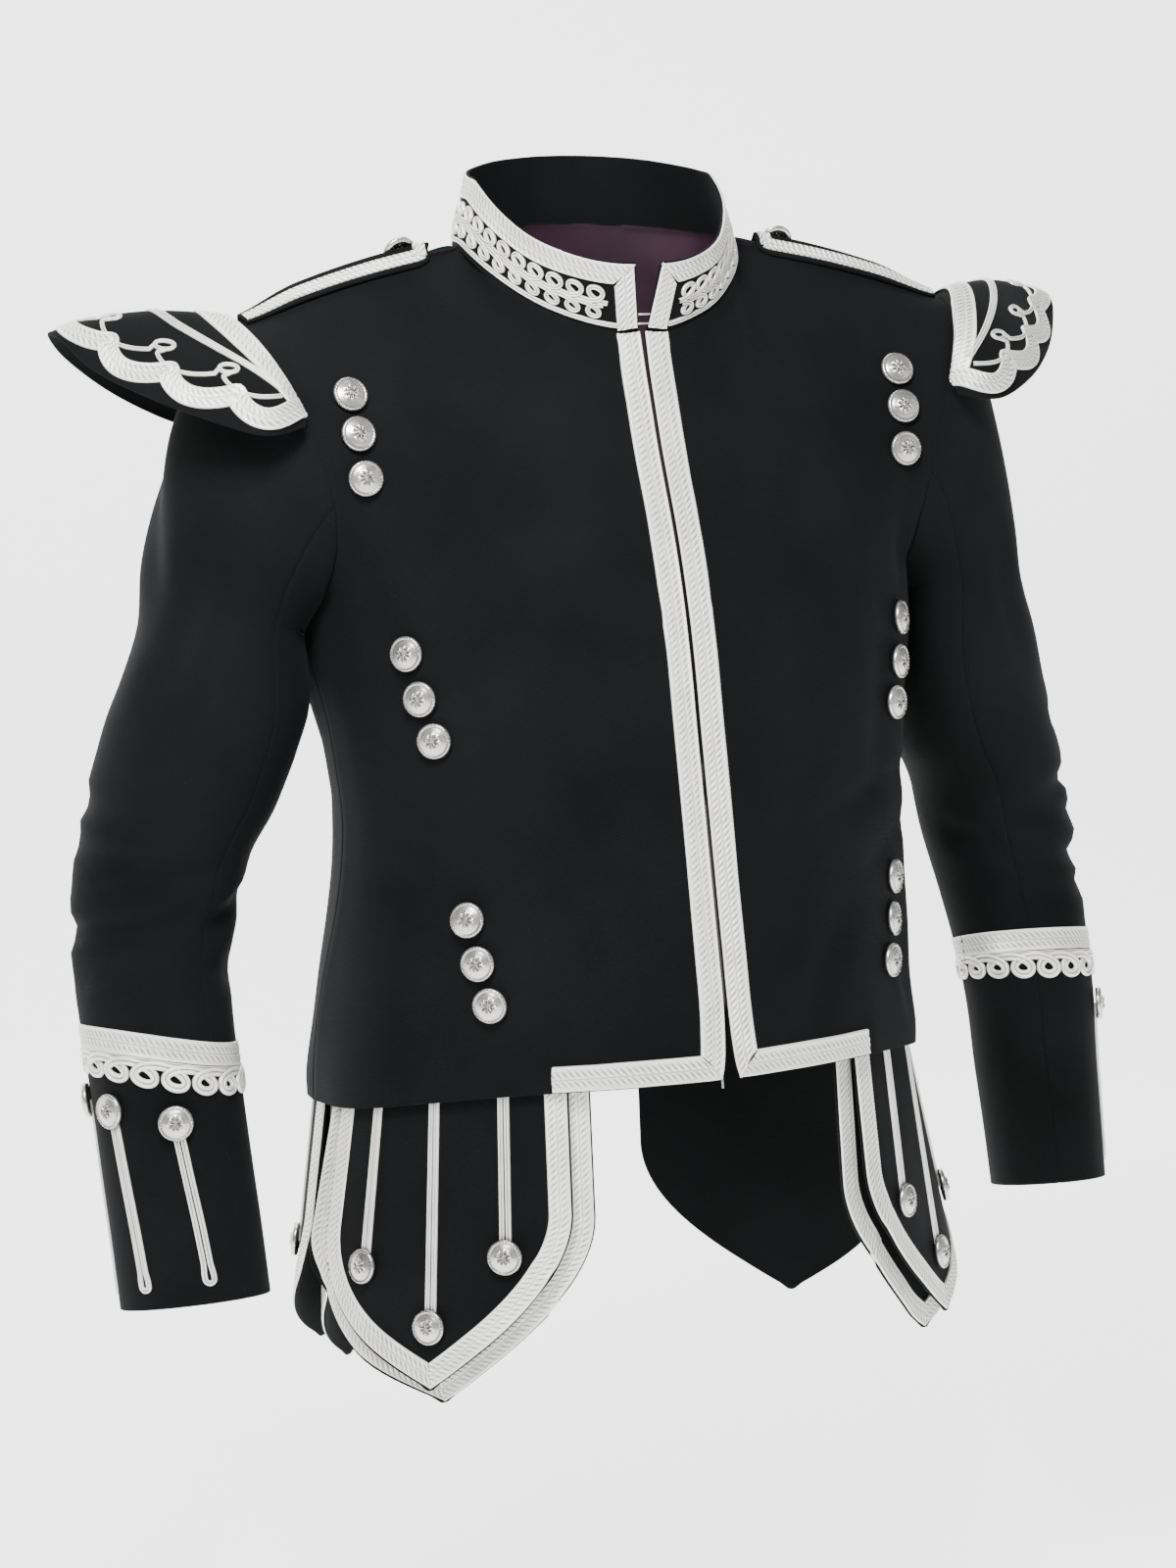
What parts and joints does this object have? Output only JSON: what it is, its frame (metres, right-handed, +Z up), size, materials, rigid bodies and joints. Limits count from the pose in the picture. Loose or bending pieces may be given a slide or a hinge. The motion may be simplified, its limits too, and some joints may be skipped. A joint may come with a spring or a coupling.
{
  "type": "kilt doublet jacket",
  "caption": "Short black wool doublet with stand collar, shoulder wings, tasset flaps, silver braid and domed buttons, filled out as worn and open at neck, hem and cuffs.",
  "frame": {"origin": "centre of the neck base, on the line of the shoulder tips", "axes": "+Z up the wearer, the front faces -Y, +X to the wearer's left"},
  "size_m": [0.7487, 0.3401, 0.8273],
  "materials": {
    "wool": "matte black barathea wool",
    "silver": "silver metal braid and stamped buttons"
  },
  "bodies": {
    "root": {"back": "wool", "button_l_1": "silver", "button_l_2": "silver", "button_l_3": "silver", "button_l_4": "silver", "button_l_5": "silver", "button_l_6": "silver", "button_l_7": "silver", "button_l_8": "silver", "button_l_9": "silver", "button_r_1": "silver", "button_r_2": "silver", "button_r_3": "silver", "button_r_4": "silver", "button_r_5": "silver", "button_r_6": "silver", "button_r_7": "silver", "button_r_8": "silver", "button_r_9": "silver", "collar": "wool", "collar_braid": "silver", "collar_cord": "silver", "cuff_braid_l": "silver", "cuff_braid_r": "silver", "flap_over_back_l": "wool", "flap_over_back_r": "wool", "flap_over_braid_back_l": "silver", "flap_over_braid_back_r": "silver", "flap_over_braid_front_l": "silver", "flap_over_braid_front_r": "silver", "flap_over_front_l": "wool", "flap_over_front_r": "wool", "flap_under_back_l": "wool", "flap_under_back_r": "wool", "flap_under_braid_back_l": "silver", "flap_under_braid_back_r": "silver", "flap_under_braid_front_l": "silver", "flap_under_braid_front_r": "silver", "flap_under_front_l": "wool", "flap_under_front_r": "wool", "front_braid_l": "silver", "front_braid_r": "silver", "front_l": "wool", "front_r": "wool", "sleeve_top_l": "wool", "sleeve_top_r": "wool", "sleeve_under_l": "wool", "sleeve_under_r": "wool", "strap_braid_l": "silver", "strap_braid_r": "silver", "strap_button_l": "silver", "strap_button_r": "silver", "strap_l": "wool", "strap_r": "wool", "wing_braid_l": "silver", "wing_braid_r": "silver", "wing_l": "wool", "wing_r": "wool"}
  },
  "joints": []
}
